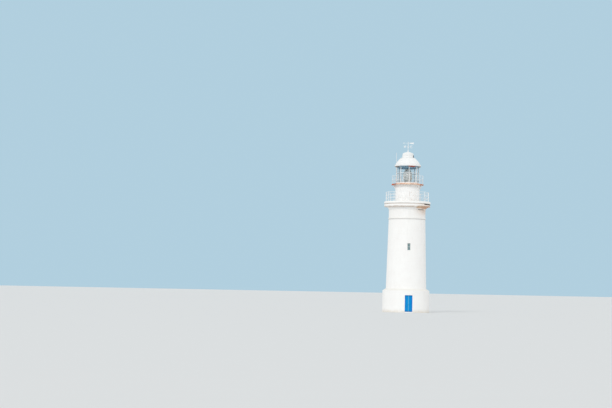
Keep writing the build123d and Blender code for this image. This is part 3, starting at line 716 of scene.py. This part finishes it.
zinc = galvanised()
dress(zinc, "aerial_mast")
mast_low, mast_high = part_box("aerial_mast")
mast_x = (mast_low.x + mast_high.x) / 2
mast_y = (mast_low.y + mast_high.y) / 2
mast_radius = (mast_high.x - mast_low.x) / 2
sleeve = turned([(mast_radius, -0.03), (mast_radius + 0.009, -0.028), (mast_radius + 0.009, 0.028),
                 (mast_radius, 0.03)], 14)
clamps = [placed(sleeve, Matrix.Translation((mast_x, mast_y, walk_high.z + height)))
          for height in catwalk_rails]
socket = turned([(mast_radius, -0.09), (mast_radius + 0.007, -0.08), (mast_radius + 0.007, 0.06),
                 (mast_radius, 0.09)], 14)
first_length = 2.3
clamps.append(placed(socket, Matrix.Translation((mast_x, mast_y, mast_low.z + first_length))))
mesh_piece("aerial_clamps", clamps, zinc)


# The lantern: an eight-sided glass house, of uprights, a mid bar and plate glass on an iron sill.
# White-painted bars with screwed cover strips that hold the glass; their faces inside the glass are painted
# dark slate blue as painted shade. The glass is clear, with salt haze low down. Inside, a boarded lining with
# a deep valance closes the roof, painted slate blue.
upright_low, upright_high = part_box("lantern_uprights")
upright_half = 0.035
corner_radius = upright_high.x - upright_half
side_reach = corner_radius * cos(pi / 8)


def lantern_paint():
    """White outside the glass and dark slate blue inside it as painted shade, so the far bars stand dark
    against the sky.
    """
    finish = Finish("lantern_paint")
    from_corner = finish.maths("PINGPONG", finish.angle(), pi / 4)
    across = finish.reach() * finish.maths("COSINE", from_corner - pi / 8)
    inside = finish.rise(across, side_reach + 0.004, side_reach - 0.004)
    drips = finish.patches(7.0, 0.54, 0.66, (1, 1, 0.35))
    outer = finish.blend(drips * 0.3, tint(251, 251, 250), tint(210, 168, 132))
    inner_shade = finish.blend(finish.patches(5.0, 0.4, 0.7), tint(50, 82, 104), tint(68, 102, 122))
    colour = finish.blend(inside, outer, inner_shade)
    return finish.done(colour, 0.38 + 0.25 * drips, finish.noise(55.0, 3), 0.001)


lantern_finish = lantern_paint()
dress(lantern_finish, "lantern_sill", "lantern_uprights", "lantern_midbars")


def eave_rust(finish, angle, ragged):
    """Where rust has broken through at the front of the eave, and the colour of its scale."""
    scale = finish.blend(finish.patches(24.0, 0.42, 0.56), tint(206, 84, 22), tint(152, 62, 26))
    return finish.between(angle + 0.5 * (ragged - 0.5), -0.1, 0.02, 0.5, 0.66), scale


def head_paint():
    """Slate blue beneath the eave, its darkness partly painted shade, and rusted at the front; the cover
    strips' white runs on over it.
    """
    finish = Finish("head_paint")
    shade = finish.patches(6.0, 0.4, 0.7)
    angle = finish.angle()
    colour = finish.blend(shade, tint(108, 152, 176), tint(134, 168, 186))
    rusty, scale = eave_rust(finish, angle, finish.noise(3.2, 5))
    colour = finish.blend(rusty * finish.patches(11.0, 0.34, 0.42), colour, scale)
    corners = finish.rise(finish.maths("COSINE", angle * 8.0), 0.985, 0.992)
    colour = finish.blend(corners, colour, tint(250, 250, 249))
    return finish.done(colour, 0.42 + 0.2 * shade, finish.noise(50.0, 3), 0.001)


dress(head_paint(), "lantern_head")


def clear_glass():
    finish = Finish("clear_glass")
    pane_foot = foot_of("lantern_panes")
    haze = finish.patches(1.6, 0.35, 0.7) * finish.rise(finish.z, pane_foot + 1.3, pane_foot)
    colour = finish.blend(haze, tint(196, 214, 220), tint(226, 232, 232))
    clear = 0.07 + haze * 0.12
    return finish.done(colour, 0.04 + 0.2 * haze, finish.noise(1.5, 1), 0.0008, Alpha=clear)


dress(clear_glass(), "lantern_panes")
cap = board((-0.022, upright_low.z, -0.002), (0.022, upright_high.z, 0.012))
caps = row(cap, 8, corner_radius + upright_half)
for level in spaced(upright_low.z, upright_high.z, 0.1, 9):
    caps += row(stud(0.007, 0.005, 8), 8, corner_radius + 0.046, level)
mesh_piece("lantern_cover_strips", caps, lantern_finish)
half_side = corner_radius * sin(pi / 8) - 0.03
bead_height = 0.016
beads = []
for level in (upright_low.z, upright_high.z - bead_height):
    bead = board((-half_side, level, 0.004), (half_side, level + bead_height, 0.022))
    beads += row(bead, 8, side_reach, 0, 22.5)
mesh_piece("lantern_glazing_beads", beads, lantern_finish)


def slate_blue():
    finish = Finish("slate_blue")
    boards = finish.maths("SINE", finish.angle() * 48.0)
    grooves = finish.rise(boards, 0.9, 0.99)
    colour = finish.blend(finish.patches(4.0, 0.4, 0.7), tint(104, 164, 200), tint(124, 176, 204))
    colour = finish.blend(grooves * 0.6, colour, tint(52, 84, 108))
    return finish.done(colour, 0.55 + 0.1 * grooves, 1 - grooves, 0.004)


lining_foot = foot_of("lantern_head") + 0.01
lining_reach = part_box("lantern_head")[1].x - 0.17
lining_rise = 0.95
lining_board = 0.012
lining_turns = [radians(84) * step / 12 for step in range(13)]
lining = [(lining_reach * cos(turn), lining_foot + lining_rise * sin(turn)) for turn in lining_turns]
shell = lining + [(max(radius - lining_board, 0.02), level - lining_board)
                  for radius, level in reversed(lining)]
valance_reach = side_reach - 0.075
valance_back = valance_reach - 0.01
valance_foot = lining_foot - 0.13
valance_head = lining_foot + 0.12
valance = [(valance_back, valance_foot), (valance_reach, valance_foot),
           (valance_reach, valance_head), (valance_back, valance_head)]
lining_shapes = [turned(shell, 64, closed=True), turned(valance, 64, closed=True)]
mesh_piece("roof_lining", lining_shapes, slate_blue())


# The optic: a drum of stepped glass prisms in a brass frame, on a cast pedestal.
# Ground glass rings cemented one over another, held by eight slim brass standards, with a brass
# ring above and below.
def prism_glass():
    finish = Finish("prism_glass")
    tone = finish.noise(4.0, 2)
    colour = finish.blend(tone, tint(240, 249, 248), tint(252, 254, 253))
    return finish.done(colour, 0.05 + 0.08 * tone, tone, 0.0002, Transmission_Weight=0.2, IOR=1.5)


brass = worn_coat("lens_brass", (12.0, 0.4, 0.7), 1.0, (206, 168, 96), (160, 122, 72), (0.28, 0.3),
                  (80.0, 2), 0.0004, Metallic=0.9)
pedestal_paint = worn_coat("pedestal_paint", (8.0, 0.5, 0.7), 1.0, (206, 220, 214), (168, 184, 176),
                           (0.4, 0.2), (40.0, 3), 0.001)
dress(prism_glass(), "lens_glass")
dress(brass, "lens_frame")
dress(pedestal_paint, "lens_pedestal")
lens_low, lens_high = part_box("lens_glass")
lens_middle = (lens_low.z + lens_high.z) / 2
lens_reach = lens_high.x + 0.012
end_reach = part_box("lens_frame")[1].x + 0.012
bow = [(end_reach, lens_low.z), (lens_reach - 0.02, lens_middle - 0.34), (lens_reach, lens_middle - 0.12),
       (lens_reach, lens_middle + 0.12), (lens_reach - 0.02, lens_middle + 0.34), (end_reach, lens_high.z)]
standards = []
for number in range(8):
    points = [(radius + out, side, level) for radius, level in bow
              for side, out in ((-0.006, 0), (0.006, 0), (0.006, 0.012), (-0.006, 0.012))]
    faces = [[3, 2, 1, 0], [*range(len(points) - 4, len(points))]]
    for step in range(len(bow) - 1):
        first = 4 * step
        faces += [[first + side, first + (side + 1) % 4, first + 4 + (side + 1) % 4, first + 4 + side]
                  for side in range(4)]
    standards.append(placed((points, faces), around(45 * number, 0)))
mesh_piece("lens_standards", standards, brass)


# The roof: a curved dome of sixteen sheets over the lantern, with a gutter round its foot.
# Sheet metal in white paint, lapped beneath sixteen batten ribs and nailed. The gutter is rusting underneath,
# where it overhangs the glass, and its lowest band is painted dark all round as painted shade.
gutter_low, gutter_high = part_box("lantern_gutter")


def roof_paint():
    finish = Finish("roof_paint")
    angle = finish.angle()
    cloudy = finish.patches(1.8, 0.4, 0.7)
    colour = finish.blend(cloudy, tint(247, 247, 246), tint(242, 243, 242))
    runs = finish.patches(1.0, 0.58, 0.74, (7, 7, 0.9))
    colour = finish.blend(runs * 0.12, colour, tint(206, 196, 182))
    ragged = finish.noise(3.2, 5)
    # Painted shade beneath the gutter's overhang: its lowest band is slate blue at the front and brown-grey
    # at the sides, with rust scale at the front.
    underside_shade = finish.rise(finish.z - 0.08 * (ragged - 0.5), gutter_low.z + 0.10, gutter_low.z + 0.07)
    sides = finish.rise(finish.maths("ABSOLUTE", angle) + 0.6 * (ragged - 0.5), 0.7, 1.0)
    soffit = finish.blend(sides, tint(122, 152, 170), tint(156, 140, 126))
    eave, scale = eave_rust(finish, angle, ragged)
    soffit = finish.blend(eave * finish.patches(11.0, 0.36, 0.44), soffit, scale)
    colour = finish.blend(underside_shade * 0.95, colour, soffit)
    return finish.done(colour, 0.42 + 0.2 * cloudy, finish.noise(5.0, 2), 0.0015)


roof_white = roof_paint()
dress(roof_white, "lantern_gutter", "dome_sheets_first_set", "dome_sheets_second_set", "dome_ribs",
      "ventilator_drum", "ventilator_cap", "vane_spindle")
gutter_radius = gutter_high.x
fittings = [wall_ring(gutter_radius - 0.020, gutter_high.z - 0.03, gutter_high.z - 0.001, 0.019)]
rib_count = 16
strap = board((-0.02, gutter_low.z + 0.07, -0.020), (0.02, gutter_high.z - 0.04, -0.001))
fittings += row(strap, rib_count, gutter_radius)
dome_reach = 0.68
dome_bulge = 0.24
nails_per_rib = 11
foot = Vector((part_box("dome_ribs")[1].x, gutter_high.z))
throat = Vector((foot.x - dome_reach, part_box("dome_sheets_first_set")[1].z))
run = (throat - foot).normalized()
square = Vector((run.y, -run.x))
lean = Matrix.Rotation(atan2(square.x, square.y), 4, "Y")
for rib in range(rib_count):
    for step in range(nails_per_rib):
        share = (step + 0.5) / nails_per_rib
        spot = foot.lerp(throat, share) + square * dome_bulge * share * (1 - share)
        there = around(360 / rib_count * rib, spot.x - 0.001, spot.y) @ lean
        fittings.append(placed(stud(0.009, 0.006, 8), there))
mesh_piece("gutter_fittings", fittings, roof_white)


# The ventilator: a drum on the dome's throat, under a low cap with a rolled edge.
# White sheet metal, riveted. A louvred vent on the right and one opposite let the lantern's heat out; their
# louvres are dark with soot and with painted shade of the opening.
drum_low, drum_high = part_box("ventilator_drum")
cap_low, cap_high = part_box("ventilator_cap")
drum_radius = cap_high.x + 0.03
cap_radius = cap_high.x
vent_foot = drum_low.z + 0.04
vent_head = drum_high.z - 0.04
vent_half = 12.5
vent_turn = 66
jamb = board((-0.010, vent_foot, -0.006), (0.010, vent_head, 0.012))
jambs = []
for edge in (-vent_half, vent_half):
    jambs += row(jamb, 2, drum_radius, 0, vent_turn + edge)
slat_count = 6
blade_half = 0.052
blade = board((-blade_half, -0.024, -0.0015), (blade_half, 0.024, 0.0015), 0.001)
blade = placed(blade, Matrix.Rotation(radians(35), 4, "X"))
# A plate behind the blades stands for the vent's opening: painted shade, dark like the blades.
shade_backing = board((-blade_half, vent_foot, -0.010), (blade_half, vent_head, 0.002), 0.001)
louvres = []
for turn in (-8, 0, 8):
    louvres += row(shade_backing, 2, drum_radius, 0, vent_turn + turn)
    for slat in range(slat_count):
        level = vent_foot + (vent_head - vent_foot) * (slat + 0.5) / slat_count
        louvres += row(blade, 2, drum_radius + 0.001, level, vent_turn + turn)
# The louvres' dark colour is part soot, part painted shade of the opening behind them.
sooty_metal = worn_coat("sooty_metal", (9.0, 0.35, 0.65), 1.0, (70, 78, 86), (44, 48, 54), (0.6, 0.2),
                        (50.0, 3), 0.001)
mesh_piece("ventilator_vent_frames", jambs, roof_white)
mesh_piece("ventilator_louvres", louvres, sooty_metal)
rivet = stud(0.008, 0.005, 8)
rivets = row(rivet, 32, drum_radius + 0.029, drum_high.z - 0.015)
rivets += row(rivet, 32, cap_radius - 0.001, cap_low.z + 0.04)
bead_radius = 0.012
bead_level = cap_low.z + 0.018
bead_turns = [step * pi / 4 for step in range(8)]
rolled_edge = [(cap_radius + bead_radius * cos(turn), bead_level + bead_radius * sin(turn))
               for turn in bead_turns]
rivets.append(turned(rolled_edge, 96, closed=True))
mesh_piece("ventilator_rivets", rivets, roof_white)


# The weather vane: a mast with four arms and their letters, and an arrow that turns on its pin.
# Forged and cut from plate, painted white. The letters of the four winds stand on the arms' ends.
vane_white = worn_coat("vane_paint", (16.0, 0.55, 0.7), 0.5, (248, 248, 247), (204, 200, 192),
                       (0.35, 0.2), (40.0, 3), 0.0006)
dress(vane_white, "vane_arrow")
spindle_low, spindle_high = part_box("vane_spindle")
arm_reach = spindle_high.x
pin_height = 0.2
arms_drop = 0.31
arms_level = spindle_high.z - pin_height - arms_drop
letter_height = 0.28
letter_width = 0.20
letter_stroke = 0.036
letter_plate = 0.006
letter_reach = arm_reach - 0.06
letters = {
    "N": [[(0, 0), (0, 1), (1, 0), (1, 1)]],
    "E": [[(1, 0), (0, 0), (0, 1), (1, 1)], [(0, 0.5), (0.8, 0.5)]],
    "W": [[(0, 1), (0.25, 0), (0.5, 0.75), (0.75, 0), (1, 1)]],
}
bend = [(0.5 + 0.5 * cos(radians(turn)), 0.75 + 0.25 * sin(radians(turn))) for turn in range(20, 271, 25)]
letters["S"] = [bend + [(1 - x, 1 - y) for x, y in reversed(bend)]]


def stroke(start, end, width, thickness):
    """A flat bar between two points of the XZ plane, its ends running on by nearly half its width."""
    heading = (Vector(end) - Vector(start)).normalized()
    along = heading * 0.47 * width
    across = Vector((-heading.y, heading.x)) * width / 2
    a = Vector(start) - along
    b = Vector(end) + along
    outline = [a - across, b - across, b + across, a + across]
    points = [(point.x, y, point.y) for y in (-thickness / 2, thickness / 2) for point in outline]
    return points, bar_faces


# Every second bar of a letter is 1 mm thicker, so that no two faces lie in one plane where bars meet.
winds = []
for direction, letter in zip((0, 90, 180, 270), "SENW"):
    for line in letters[letter]:
        for number, (start, end) in enumerate(zip(line, line[1:])):
            spots = [((x - 0.5) * letter_width, y * letter_height) for x, y in (start, end)]
            bar = stroke(*spots, letter_stroke, letter_plate + 0.001 * (number % 2))
            stand = around(direction, letter_reach, arms_level - letter_height / 2)
            winds.append(placed(bar, stand))
mesh_piece("vane_letters", winds, vane_white)
collars = []
for level, radius in ((arms_level + 0.07, 0.034), (arms_level - 0.07, 0.034), (spindle_low.z + 0.40, 0.04)):
    collars.append(placed(turned([(0.02, -0.018), (radius, -0.008), (radius, 0.008), (0.02, 0.018)], 16),
                          Matrix.Translation((0, 0, level))))
mesh_piece("vane_mast_collars", collars, roof_white)


# The setting: a pale floor, pale surroundings, one broad key light from the front left, and the
# camera, a long way off and a little above head height.
def floor_paint():
    finish = Finish("floor_paint")
    grain = finish.noise(0.8, 2)
    colour = finish.blend(grain * 0.1, tint(222, 224, 224), tint(214, 216, 216))
    return finish.done(colour, 0.9 + 0.1 * grain, grain, 0.001)


ground_reach = 4000
ground_level = -0.002
ground_corners = [(x * ground_reach, y * ground_reach, ground_level)
                  for x, y in ((-1, -1), (1, -1), (1, 1), (-1, 1))]
ground = bpy.data.meshes.new("ground")
ground.from_pydata(ground_corners, [], [[0, 1, 2, 3]])
ground.materials.append(floor_paint())
floor = bpy.data.objects.new("floor", ground)
bpy.context.collection.objects.link(floor)


class Surroundings(Finish):
    """The world's nodes, added by the same methods as a finish's."""

    def __init__(self, world):
        world.use_nodes = True
        self.tree = world.node_tree
        self.tree.nodes.clear()


world = bpy.data.worlds.new("studio")
bpy.context.scene.world = world
sky = Surroundings(world)
camera_ray, glossy_ray, transmission_ray = [
    sky.node("LightPath", output=f"Is {kind} Ray") for kind in ("Camera", "Glossy", "Transmission")
]
seen = sky.maths("MAXIMUM", camera_ray, sky.maths("MAXIMUM", glossy_ray, transmission_ray))
light = sky.node("Background", Color=(1.0, 1.0, 1.0, 1.0), Strength=0.87)
view = sky.node("Background", Color=tint(176, 206, 222), Strength=1.0)
sky.node("OutputWorld", Surface=sky.node("MixShader", inputs=[seen, light, view]))

key = bpy.data.lights.new("key", "SUN")
key.energy = 0.765
key.angle = radians(14)
lamp = bpy.data.objects.new("key", key)
lamp.rotation_euler = Vector((-0.42, -0.91, 0.60)).to_track_quat("Z", "Y").to_euler()
bpy.context.collection.objects.link(lamp)

azimuth = radians(-7)
distance = 190
eye_height = 2.5
pan = radians(3.829)
tilt = radians(3.26)
roll = radians(1.106)
camera = bpy.data.cameras.new("camera")
camera.lens = 89.13
camera.sensor_width = 36
camera.clip_end = 9000
viewer = bpy.data.objects.new("camera", camera)
turn = Matrix.Rotation(azimuth + pan, 4, "Z") @ Matrix.Rotation(pi / 2 + tilt, 4, "X")
turn = turn @ Matrix.Rotation(roll, 4, "Z")
spot = Matrix.Translation((sin(azimuth) * distance, -cos(azimuth) * distance, eye_height))
viewer.matrix_world = spot @ turn
bpy.context.collection.objects.link(viewer)
bpy.context.scene.camera = viewer
bpy.context.scene.view_settings.view_transform = "Standard"
